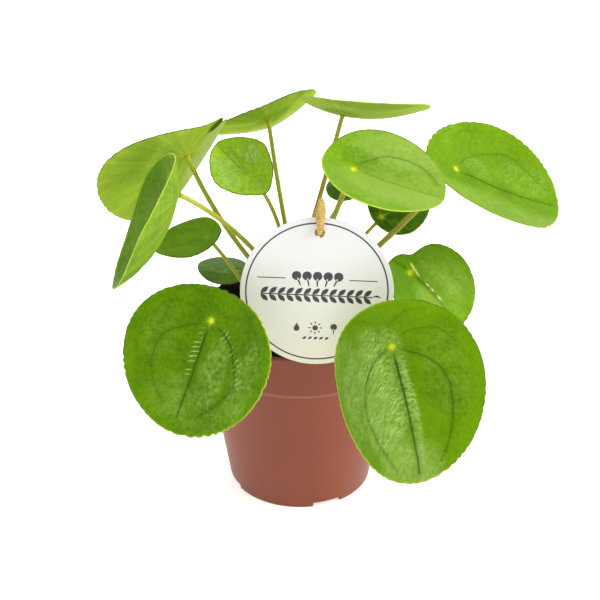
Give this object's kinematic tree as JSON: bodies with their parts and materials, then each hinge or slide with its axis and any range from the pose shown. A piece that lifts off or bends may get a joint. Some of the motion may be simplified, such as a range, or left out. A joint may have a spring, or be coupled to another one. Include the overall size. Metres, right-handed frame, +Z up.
{
  "type": "potted pilea plant",
  "caption": "House plant with round peltate leaves on long stalks from a short woody stem, in a plastic nursery pot with a round hang tag.",
  "frame": {"origin": "centre of the bounding box's base, on the surface that the pot stands on", "axes": "+Z up; -Y is the plant's front, where the tag hangs; +X to the right seen from the front"},
  "size_m": [0.269, 0.2644, 0.2363],
  "materials": {
    "pot": "satin terracotta-brown moulded plastic",
    "soil": "moist crumbly potting soil",
    "stem": "young woody stem with leaf scars",
    "blade": "fleshy leaf, satin to glossy, fine veins",
    "stalk": "smooth yellow-green leaf stalk",
    "tag": "white coated card with a printed ring",
    "tie": "soft twisted jute"
  },
  "bodies": {
    "root": {"pot": "pot", "soil": "soil", "stem": "stem", "blade_01": "blade", "blade_02": "blade", "blade_03": "blade", "blade_04": "blade", "blade_05": "blade", "blade_06": "blade", "blade_07": "blade", "blade_08": "blade", "blade_09": "blade", "blade_10": "blade", "blade_11": "blade", "blade_12": "blade", "blade_13": "blade", "blade_14": "blade", "stalk_01": "stalk", "stalk_02": "stalk", "stalk_03": "stalk", "stalk_04": "stalk", "stalk_05": "stalk", "stalk_06": "stalk", "stalk_07": "stalk", "stalk_08": "stalk", "stalk_09": "stalk", "stalk_10": "stalk", "stalk_11": "stalk", "stalk_12": "stalk", "stalk_13": "stalk", "stalk_14": "stalk", "tag": "tag", "tie": "tie"}
  },
  "joints": []
}
